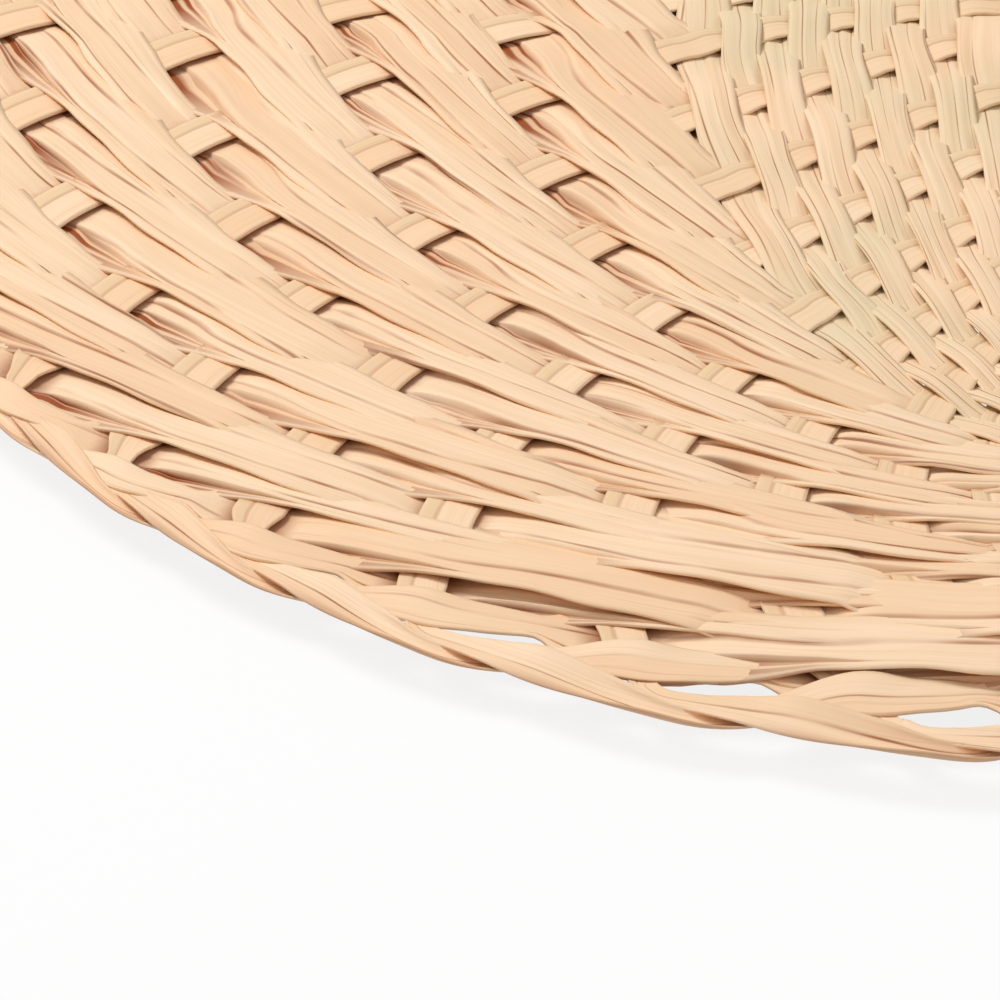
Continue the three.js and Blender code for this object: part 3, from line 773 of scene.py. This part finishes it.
def strip_piece(name, surface, level, thickness):
    """A strip of leaf, shaped from a grid and given its thickness."""
    face, uv, looks = surface
    rows, columns = face.shape[:2]
    piece, row, column = start_grid(name, rows, columns)
    mesh = piece.data
    # The grid's columns run to the left of the strip, so the face looks up
    place = face[row, column] * MM
    place[:, 2] += level
    mesh.vertices.foreach_set("co", place.ravel())
    for label, values in looks.items():
        layer = mesh.attributes.new(label, "FLOAT", "POINT")
        shown = np.broadcast_to(values, (rows, columns))[row, column]
        layer.data.foreach_set("value", shown.astype(np.float32))
    corner = np.empty(len(mesh.loops), dtype=np.int32)
    mesh.loops.foreach_get("vertex_index", corner)
    at = (uv[row, column] / UV_MM)[corner]
    mesh.uv_layers.active.data.foreach_set("uv", at.astype(np.float32).ravel())
    mesh.update()
    solid = piece.modifiers.new("Leaf thickness", "SOLIDIFY")
    solid.thickness = thickness
    solid.offset = 0
    bpy.ops.object.modifier_apply(modifier=solid.name)
    bpy.ops.object.shade_smooth()
    return piece


def finish_piece(piece, material, nodes):
    """Gives a piece its material, and its place among the solids."""
    piece.data.materials.clear()
    piece.data.materials.append(material)
    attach(piece, "root")
    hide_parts(*nodes)


# Handle and binding, in millimetres

NECK_BELOW = 9.0  # from the blade's base to the top of the neck
END_BELOW = 132.0  # from the blade's base to the end of the grip
SWELL_BELOW = 66.0  # from the top of the neck to the swell of the grip
JOINTS_BELOW = (98.0, 42.0)  # from the blade's base to the joints of the grip
TINE_JOINT = 10.0  # the joint in the tines, from the widest line
END_WIDTH = 11.0
TINE_WIDTH = 7.0
TINE_END_WIDTH = 4.0
TINE_TAPER = 6.0
TINE_HEIGHT = 8.0
CORNER_RADIUS = 2.6
CORNER_SHARE = 2.5  # a corner takes no more of the width than this divides it into
CORNER_STEPS = 6
STATIONS = 150
BEVEL_LENGTH = 1.2
BEVEL_DEPTH = 0.35
JOINT_HEIGHT = 0.35
SMOOTH_ANGLE = math.radians(35)
KERF_CUT_WIDTH = 40.0
BINDING_GAP = 1.6  # from the top of the neck to the middle of the first turn
BINDING_PITCH = 3.8
BINDING_HALF = 1.75
BINDING_CLEAR = 0.45
BINDING_STEPS = 72
BINDING_COLUMNS = 9
BINDING_THICKNESS = 0.4
BINDING_SEED = 51
BINDING_FOLDS, BINDING_DROP, BINDING_FOLD, BINDING_ARCH = 2.2, 0.14, 0.14, 0.18


def blade_base(blade):
    """From the widest line to the blade's edge on the handle's side."""
    return blade.base_spine / MM + blade.base_rate * blade.half_width / MM


def handle_joints(blade):
    """Places of the bamboo's joints along the handle."""
    return (*(-blade_base(blade) - below for below in JOINTS_BELOW), TINE_JOINT)


def joint_swell(away):
    """A joint of bamboo: a ridge, with a shallow groove on the tip's side."""
    return math.exp(-((away + 1.5) / 1.5) ** 2) - 0.6 * math.exp(-((away - 1.5) / 1.2) ** 2)


def handle_outline(width, height, corner):
    """Rounded rectangle standing on the floor, from its right side over the top."""
    points = []
    centres = [(width / 2 - corner, height - corner), (-width / 2 + corner, height - corner),
               (-width / 2 + corner, corner), (width / 2 - corner, corner)]
    for quarter, (x, z) in enumerate(centres):
        for step in range(CORNER_STEPS + 1):
            angle = (quarter + step / CORNER_STEPS) * math.pi / 2
            points.append((x + corner * math.cos(angle), z + corner * math.sin(angle)))
    return np.array(points)


def handle_shape(blade, handle):
    """Rings of points along the handle, each end closed by a fan round its middle."""
    base = blade_base(blade)
    joints = handle_joints(blade)
    end = -base - END_BELOW
    top = -base - NECK_BELOW
    reach = handle.tine_reach / MM
    grip_height = handle.grip_height / MM
    places = [end, top - SWELL_BELOW, top, reach - TINE_TAPER, reach]
    widths = [END_WIDTH, handle.grip_width / MM, handle.neck_width / MM, TINE_WIDTH, TINE_END_WIDTH]
    heights = [grip_height] * 3 + [TINE_HEIGHT] * 2
    bevel = [end + BEVEL_LENGTH / 2, end + BEVEL_LENGTH]
    stations = np.unique(np.concatenate([np.linspace(end, reach, STATIONS), places, bevel]))
    rings = []
    for y in stations:
        width = np.interp(y, places, widths)
        height = np.interp(y, places, heights)
        inset = BEVEL_DEPTH * max(0, 1 - (y - end) / BEVEL_LENGTH)
        grow = JOINT_HEIGHT * sum(joint_swell(y - joint) for joint in joints) - inset
        outline = handle_outline(width, height, min(CORNER_RADIUS, width / CORNER_SHARE))
        middle = np.array([0, height / 2])
        outline = middle + (outline - middle) * (1 + 2 * grow / width)
        outline[:, 1] = np.clip(outline[:, 1], 0, grip_height)
        outline = np.concatenate([outline, outline[:1]])
        rings.append(np.stack([outline[:, 0], np.full(len(outline), y), outline[:, 1]], -1))
    fans = [np.broadcast_to(ring.mean(axis=0), ring.shape) for ring in (rings[0], rings[-1])]
    return np.array([fans[0], *rings, fans[1]])


def handle_piece(blade, handle):
    """The split bamboo bar, with the kerf cut from its top end."""
    shape = handle_shape(blade, handle)
    piece, row, column = start_grid("bamboo_handle", *shape.shape[:2])
    piece.data.vertices.foreach_set("co", (shape[row, column] * MM).ravel())
    piece.data.update()
    bpy.ops.object.mode_set(mode="EDIT")
    bpy.ops.mesh.select_all(action="SELECT")
    bpy.ops.mesh.remove_doubles(threshold=0.000001)
    bpy.ops.mesh.normals_make_consistent(inside=False)
    bpy.ops.object.mode_set(mode="OBJECT")
    top = -blade_base(blade) - NECK_BELOW
    kerf_length = (handle.tine_reach / MM - top) * MM
    bpy.ops.object.select_all(action="DESELECT")
    bpy.ops.mesh.primitive_cube_add(
        size=1, location=(0, top * MM + kerf_length, blade.level),
        scale=(KERF_CUT_WIDTH * MM, 2 * kerf_length, handle.kerf_height))
    kerf = bpy.context.active_object
    bpy.ops.object.select_all(action="DESELECT")
    piece.select_set(True)
    bpy.context.view_layer.objects.active = piece
    cut = piece.modifiers.new("Kerf", "BOOLEAN")
    cut.operation = "DIFFERENCE"
    cut.solver = "EXACT"
    cut.object = kerf
    bpy.ops.object.modifier_apply(modifier=cut.name)
    bpy.data.objects.remove(kerf)
    bpy.ops.object.shade_smooth_by_angle(angle=SMOOTH_ANGLE)
    return piece


def binding_surface(blade, handle):
    """A leaf strip wound round the neck, its turns side by side."""
    top = -blade_base(blade) - NECK_BELOW
    turn = np.linspace(0, handle.binding_turns, handle.binding_turns * BINDING_STEPS + 1)
    angle = 2 * np.pi * turn
    # A turn is a rounded square, stretched to the neck's width and height
    squared = (np.abs(np.cos(angle)) ** 4 + np.abs(np.sin(angle)) ** 4) ** -0.25
    y = top - BINDING_GAP - BINDING_PITCH * turn
    width = np.interp(top - y, [0, SWELL_BELOW], [handle.neck_width / MM, handle.grip_width / MM])
    half_height = handle.grip_height / MM / 2
    x = (width / 2 + BINDING_CLEAR) * squared * np.cos(angle)
    z = half_height + (half_height + BINDING_CLEAR) * squared * np.sin(angle)
    across = np.linspace(-1, 1, BINDING_COLUMNS)[None, :]
    along = lengths(np.stack([x, y, z], -1))[:, None]
    random = np.random.default_rng(BINDING_SEED)
    fold, folds = pleats(along, across, random, BINDING_FOLDS, BINDING_DROP)
    out = -left_of(np.stack([x, z], -1))
    bulge = BINDING_FOLD * fold + BINDING_ARCH * (1 - across ** 2)
    face = np.empty(bulge.shape + (3,))
    face[..., 0] = x[:, None] + out[:, None, 0] * bulge
    face[..., 1] = y[:, None] - across * BINDING_HALF
    face[..., 2] = z[:, None] + out[:, None, 1] * bulge
    uv = np.stack(np.broadcast_arrays(along, across * BINDING_HALF), -1)
    return face, uv, {"painted_shade": 0.0, "dull": 0.0, "young": 0.0, "folds": folds}


# Materials


def linear(code):
    """An sRGB hex value as a linear colour."""
    parts = [int(code[i:i + 2], 16) / 255 for i in (0, 2, 4)]
    shades = [c / 12.92 if c <= 0.04045 else ((c + 0.055) / 1.055) ** 2.4 for c in parts]
    return (*shades, 1.0)


def add_node(tree, kind, inputs=None, **settings):
    """Adds a node with its settings, and a value or a link for each named input."""
    node = tree.nodes.new(kind)
    for name, value in settings.items():
        setattr(node, name, value)
    for name, value in (inputs or {}).items():
        if isinstance(value, bpy.types.NodeSocket):
            tree.links.new(value, node.inputs[name])
        else:
            node.inputs[name].default_value = value
    return node


def mixed(tree, share, under, over):
    """A colour between two others."""
    return add_node(tree, "ShaderNodeMix", {0: share, 6: under, 7: over}, data_type="RGBA").outputs[2]


def ranged(tree, value, low=0.0, high=1.0, at_low=0.0, at_high=1.0):
    """A value carried from one range to another, and held at the ends."""
    inputs = {"Value": value, "From Min": low, "From Max": high, "To Min": at_low, "To Max": at_high}
    return add_node(tree, "ShaderNodeMapRange", inputs).outputs["Result"]


def maths(tree, operation, *values, clamp=False):
    """The result of one operation on one or two values."""
    inputs = dict(enumerate(values))
    return add_node(tree, "ShaderNodeMath", inputs, operation=operation, use_clamp=clamp).outputs[0]


def attribute(tree, name):
    """A value stored at the points of the mesh."""
    return add_node(tree, "ShaderNodeAttribute", attribute_name=name).outputs["Fac"]


def noise(tree, vector, scale, detail):
    """Cloudy noise; a scale with three parts stretches it along the axes."""
    if isinstance(scale, tuple):
        vector = add_node(tree, "ShaderNodeMapping", {"Vector": vector, "Scale": scale}).outputs["Vector"]
        scale = 1.0
    inputs = {"Vector": vector, "Scale": scale, "Detail": detail}
    return add_node(tree, "ShaderNodeTexNoise", inputs).outputs["Fac"]


def streaks(tree, uv, long, wide, detail):
    """Noise drawn out along a leaf, with its length and width in millimetres."""
    return noise(tree, uv, (UV_MM / long, UV_MM / wide, 1), detail)


def new_material(name):
    """A material with its node tree and its shader."""
    material = bpy.data.materials.new(name)
    material.use_nodes = True
    return material, material.node_tree, material.node_tree.nodes["Principled BSDF"]


def dress(tree, shader, colour, rough, height, strength, depth):
    """Links a colour and a roughness to a shader, with fine bumps of a depth in metres."""
    bump = add_node(tree, "ShaderNodeBump", {"Height": height, "Strength": strength, "Distance": depth})
    tree.links.new(colour, shader.inputs["Base Color"])
    tree.links.new(rough, shader.inputs["Roughness"])
    tree.links.new(bump.outputs["Normal"], shader.inputs["Normal"])


def leaf_material(name, colours, green):
    """Dried palm leaf, split and bleached: matt, with fine fibres along it, and painted brown shade in its
    creases, under other strips and in the gaps beside a bundle.
    """
    material, tree, shader = new_material(name)
    tan = linear(colours.leaf_tan)
    dull = linear(colours.leaf_dull)
    uv = add_node(tree, "ShaderNodeUVMap").outputs["UV"]
    place = add_node(tree, "ShaderNodeTexCoord").outputs["Object"]
    fibre = streaks(tree, uv, long=30, wide=0.35, detail=3.0)
    stain = streaks(tree, uv, long=18, wide=2, detail=2.0)
    colour = mixed(tree, ranged(tree, fibre, 0.38, 0.75, at_high=0.5), linear(colours.leaf_pale), tan)
    colour = mixed(tree, ranged(tree, stain, 0.45, 0.8, at_high=0.45), colour, dull)
    # Each ply is a little paler or duller than the next
    folds = attribute(tree, "folds")
    ply = maths(tree, "FLOOR", folds)
    tone = add_node(tree, "ShaderNodeTexWhiteNoise", {"W": ply}, noise_dimensions="1D").outputs["Value"]
    colour = mixed(tree, ranged(tree, tone, low=0.35, at_high=0.55), colour, tan)
    colour = mixed(tree, maths(tree, "MULTIPLY", attribute(tree, "dull"), 0.8), colour, dull)
    # Greener places about 20 mm across, where the leaf is young
    patch = ranged(tree, noise(tree, place, 1 / 0.02, 1.0), 0.38, 0.68)
    young = maths(tree, "MULTIPLY", maths(tree, "MULTIPLY", attribute(tree, "young"), patch), green)
    colour = mixed(tree, young, colour, linear(colours.core_green))
    # A thin brown line of painted shade along the step of each fold, which comes and goes with the stains
    fold_shade_line = ranged(tree, maths(tree, "PINGPONG", folds, 0.5), 0.014, 0.06, 1.0, 0.0)
    # Thin dark fibres, about 0.1 mm wide and 1.5 mm apart, nearly straight along the leaf
    split = maths(tree, "SUBTRACT", streaks(tree, uv, long=180, wide=1.4, detail=0.0), 0.5)
    split_line = ranged(tree, maths(tree, "ABSOLUTE", split), 0.004, 0.02, 0.3, 0.0)
    line = maths(tree, "MAXIMUM", fold_shade_line, split_line)
    line = maths(tree, "MULTIPLY", line, ranged(tree, stain, 0.38, 0.65, 0.05, 0.9))
    # Painted shadow in the gaps beside a bundle, crossed by thin pale strands, a few in each of them
    strand = ranged(tree, streaks(tree, uv, long=60, wide=0.26, detail=0.0), 0.44, 0.56, 1.3, 0.3)
    gap_shade = maths(tree, "MULTIPLY", attribute(tree, "gap_shade"), strand)
    shade = maths(tree, "MAXIMUM", attribute(tree, "painted_shade"), gap_shade)
    # Brown over the leaf: its real dark fibres, and painted shade in folds, creases, gaps and under other
    # strips
    crease = maths(tree, "MAXIMUM", line, shade, clamp=True)
    colour = mixed(tree, crease, colour, linear(colours.painted_shade_brown))
    shader.inputs["IOR"].default_value = 1.45
    shader.inputs["Specular IOR Level"].default_value = 0.35
    rough = ranged(tree, fibre, at_low=0.48, at_high=0.68)
    dress(tree, shader, colour, rough, height=fibre, strength=0.25, depth=0.00008)
    return material


def bamboo_material(name, colours, joints):
    """Split bamboo, scraped smooth: a low gloss, fine dark fibres along it and dark rings at its joints."""
    material, tree, shader = new_material(name)
    tan = linear(colours.bamboo_tan)
    place = add_node(tree, "ShaderNodeTexCoord").outputs["Object"]
    # Fibres about 0.5 mm across and 60 mm long, along the handle
    fibre = noise(tree, place, (1 / 0.0005, 1 / 0.06, 1 / 0.0005), 3.0)
    # Darker places about 25 mm across
    patch = noise(tree, place, 1 / 0.025, 2.0)
    colour = mixed(tree, ranged(tree, fibre, 0.45, 0.75), linear(colours.bamboo_pale), tan)
    colour = mixed(tree, ranged(tree, patch, 0.45, 0.8, at_high=0.5), colour, tan)
    along = add_node(tree, "ShaderNodeSeparateXYZ", {"Vector": place}).outputs["Y"]
    for joint in joints:
        away = maths(tree, "ABSOLUTE", maths(tree, "SUBTRACT", along, joint * MM))
        ring = ranged(tree, away, 0.0003, 0.0016, 0.75, 0.0)
        colour = mixed(tree, ring, colour, linear(colours.bamboo_brown))
    shader.inputs["IOR"].default_value = 1.5
    rough = ranged(tree, patch, at_low=0.34, at_high=0.52)
    dress(tree, shader, colour, rough, height=fibre, strength=0.3, depth=0.0001)
    return material


def seen_by_eye(tree):
    """1 for what the camera sees, directly, in a reflection or through a clear piece."""
    ray = add_node(tree, "ShaderNodeLightPath").outputs
    seen = maths(tree, "MAXIMUM", ray["Is Camera Ray"], ray["Is Glossy Ray"])
    return maths(tree, "MAXIMUM", seen, ray["Is Transmission Ray"])


def floor_material(name):
    """Matt white studio board that stays near white to the eye and still takes a soft shadow."""
    material, tree, _ = new_material(name)
    tree.nodes.clear()
    board = add_node(tree, "ShaderNodeBsdfDiffuse", {"Color": linear("F4F4F2")}).outputs["BSDF"]
    white = add_node(tree, "ShaderNodeEmission", {"Color": (1, 1, 1, 1), "Strength": 1.0}).outputs["Emission"]
    share = maths(tree, "MULTIPLY", seen_by_eye(tree), 0.85)
    surface = add_node(tree, "ShaderNodeMixShader", {0: share, 1: board, 2: white}).outputs["Shader"]
    add_node(tree, "ShaderNodeOutputMaterial", {"Surface": surface})
    return material


# Stage

CAMERA_TARGET = np.array([63.154, 102.471, 4.5]) * MM
CAMERA_AZIMUTH = math.radians(2.153)
CAMERA_ELEVATION = math.radians(27.917)
CAMERA_DISTANCE = 2.253
PICTURE_WIDTH = 0.100  # width of what the camera sees at its target
SENSOR_WIDTH = 36.0
ROOM_LIGHT = 0.34
FLOOR_SIZE = 6
# Name, direction from the target, distance, size and power in watts
LAMPS = [
    ("key_lamp", (0.55, -0.45, 0.85), 1.1, 0.45, 9.2),
    ("fill_lamp", (-0.6, 0.8, 0.7), 1.3, 0.9, 4.0),
]


def light_room(tree):
    """A plain white surround that lights from all sides and shows as white."""
    tree.nodes.clear()
    strength = ranged(tree, seen_by_eye(tree), at_low=ROOM_LIGHT, at_high=1.0)
    sky = add_node(tree, "ShaderNodeBackground", {"Color": (1, 1, 1, 1), "Strength": strength})
    add_node(tree, "ShaderNodeOutputWorld", {"Surface": sky.outputs["Background"]})


def aimed(back):
    """Rotation whose local Z axis points along a vector, upright."""
    right = unit(np.cross([0.0, 0.0, 1.0], back))
    up = np.cross(back, right)
    return Matrix([[right[i], up[i], back[i]] for i in range(3)]).to_euler()


def place_camera(scene):
    """A long lens from a distance, fitted to the photograph."""
    flat = math.cos(CAMERA_ELEVATION)
    back = np.array([math.sin(CAMERA_AZIMUTH) * flat, math.cos(CAMERA_AZIMUTH) * flat,
                     math.sin(CAMERA_ELEVATION)])
    bpy.ops.object.camera_add(location=CAMERA_TARGET + back * CAMERA_DISTANCE, rotation=aimed(back))
    camera = bpy.context.active_object
    camera.name = "photo_camera"
    camera.data.sensor_width = SENSOR_WIDTH
    camera.data.lens = SENSOR_WIDTH * CAMERA_DISTANCE / PICTURE_WIDTH
    camera.data.clip_start = 0.05
    camera.data.clip_end = 20.0
    scene.camera = camera


def add_lamp(name, direction, distance, size, power):
    """A soft square lamp aimed at the blade."""
    back = unit(np.array(direction))
    bpy.ops.object.light_add(type="AREA", location=CAMERA_TARGET + back * distance, rotation=aimed(back))
    lamp = bpy.context.active_object
    lamp.name = name
    lamp.data.size = size
    lamp.data.energy = power


# Operators

LEAF_GREEN = 0.45  # how green the young part of a leaf is
CORE_GREEN = 0.72


class PALMFAN_OT_leaf_strips(bpy.types.Operator):
    """Plaits the leaf strips of the blade"""

    bl_idname = "palm_fan.leaf_strips"
    bl_label = "Leaf Strips"

    def execute(self, context):
        blade = context.scene.palm_fan_blade
        weave = Weave(blade)
        material = leaf_material("Dried palm leaf", context.scene.palm_fan_colours, LEAF_GREEN)
        for leaf in range(weave.count):
            surface = leaf_surface(weave, leaf)
            piece = strip_piece(f"woven_leaf_{leaf + 1:02d}", surface, blade.level, blade.leaf_thickness)
            finish_piece(piece, material, [f"leaf_strip_{leaf + 1:02d}"])
        return {"FINISHED"}


class PALMFAN_OT_core_strips(bpy.types.Operator):
    """Plaits the finer strips round the spine"""

    bl_idname = "palm_fan.core_strips"
    bl_label = "Core Strips"

    def execute(self, context):
        blade = context.scene.palm_fan_blade
        weave = Weave(blade)
        material = leaf_material("Young dried palm leaf", context.scene.palm_fan_colours, CORE_GREEN)
        for name in CORE_NAMES:
            piece = strip_piece("woven_" + name, core_surface(weave, name), blade.level, blade.leaf_thickness)
            finish_piece(piece, material, [name])
        return {"FINISHED"}


class PALMFAN_OT_handle(bpy.types.Operator):
    """Shapes the split bamboo handle"""

    bl_idname = "palm_fan.handle"
    bl_label = "Split Handle"

    def execute(self, context):
        blade = context.scene.palm_fan_blade
        piece = handle_piece(blade, context.scene.palm_fan_handle)
        material = bamboo_material("Scraped bamboo", context.scene.palm_fan_colours, handle_joints(blade))
        finish_piece(piece, material, ["split_handle"])
        return {"FINISHED"}


class PALMFAN_OT_binding(bpy.types.Operator):
    """Winds a leaf strip round the neck"""

    bl_idname = "palm_fan.binding"
    bl_label = "Neck Binding"

    def execute(self, context):
        surface = binding_surface(context.scene.palm_fan_blade, context.scene.palm_fan_handle)
        material = leaf_material("Wound palm leaf", context.scene.palm_fan_colours, 0.0)
        piece = strip_piece("leaf_binding", surface, 0.0, BINDING_THICKNESS * MM)
        finish_piece(piece, material, ["neck_binding"])
        return {"FINISHED"}


class PALMFAN_OT_stage(bpy.types.Operator):
    """Sets the floor, the soft light and the camera"""

    bl_idname = "palm_fan.stage"
    bl_label = "Stage"

    def execute(self, context):
        scene = context.scene
        scene.view_settings.view_transform = "Standard"
        bpy.ops.object.select_all(action="DESELECT")
        bpy.ops.mesh.primitive_plane_add(size=FLOOR_SIZE)
        floor = context.active_object
        floor.name = "studio_floor"
        floor.data.materials.append(floor_material("Matt white board"))
        world = bpy.data.worlds.new("Soft white room")
        world.use_nodes = True
        scene.world = world
        light_room(world.node_tree)
        place_camera(scene)
        for lamp in LAMPS:
            add_lamp(*lamp)
        return {"FINISHED"}


class PALMFAN_PT_sidebar(bpy.types.Panel):
    """Lists the pieces of the fan and their sizes"""

    bl_label = "Palm Fan"
    bl_idname = "PALMFAN_PT_sidebar"
    bl_space_type = "VIEW_3D"
    bl_region_type = "UI"
    bl_category = "Palm Fan"

    def draw(self, context):
        for group in (context.scene.palm_fan_blade, context.scene.palm_fan_handle,
                      context.scene.palm_fan_colours):
            box = self.layout.box()
            for name in group.__annotations__:
                box.prop(group, name)
        for operator in OPERATORS:
            self.layout.operator(operator.bl_idname)


OPERATORS = (
    PALMFAN_OT_leaf_strips,
    PALMFAN_OT_core_strips,
    PALMFAN_OT_handle,
    PALMFAN_OT_binding,
    PALMFAN_OT_stage,
)
CLASSES = (PalmFanBlade, PalmFanHandle, PalmFanColours, *OPERATORS, PALMFAN_PT_sidebar)


def register():
    for cls in CLASSES:
        bpy.utils.register_class(cls)
    bpy.types.Scene.palm_fan_blade = bpy.props.PointerProperty(type=PalmFanBlade)
    bpy.types.Scene.palm_fan_handle = bpy.props.PointerProperty(type=PalmFanHandle)
    bpy.types.Scene.palm_fan_colours = bpy.props.PointerProperty(type=PalmFanColours)


def unregister():
    del bpy.types.Scene.palm_fan_colours
    del bpy.types.Scene.palm_fan_handle
    del bpy.types.Scene.palm_fan_blade
    for cls in reversed(CLASSES):
        bpy.utils.unregister_class(cls)


def main():
    register()
    bpy.ops.palm_fan.stage()
    bpy.ops.palm_fan.leaf_strips()
    bpy.ops.palm_fan.core_strips()
    bpy.ops.palm_fan.handle()
    bpy.ops.palm_fan.binding()


if __name__ == "__main__":
    main()
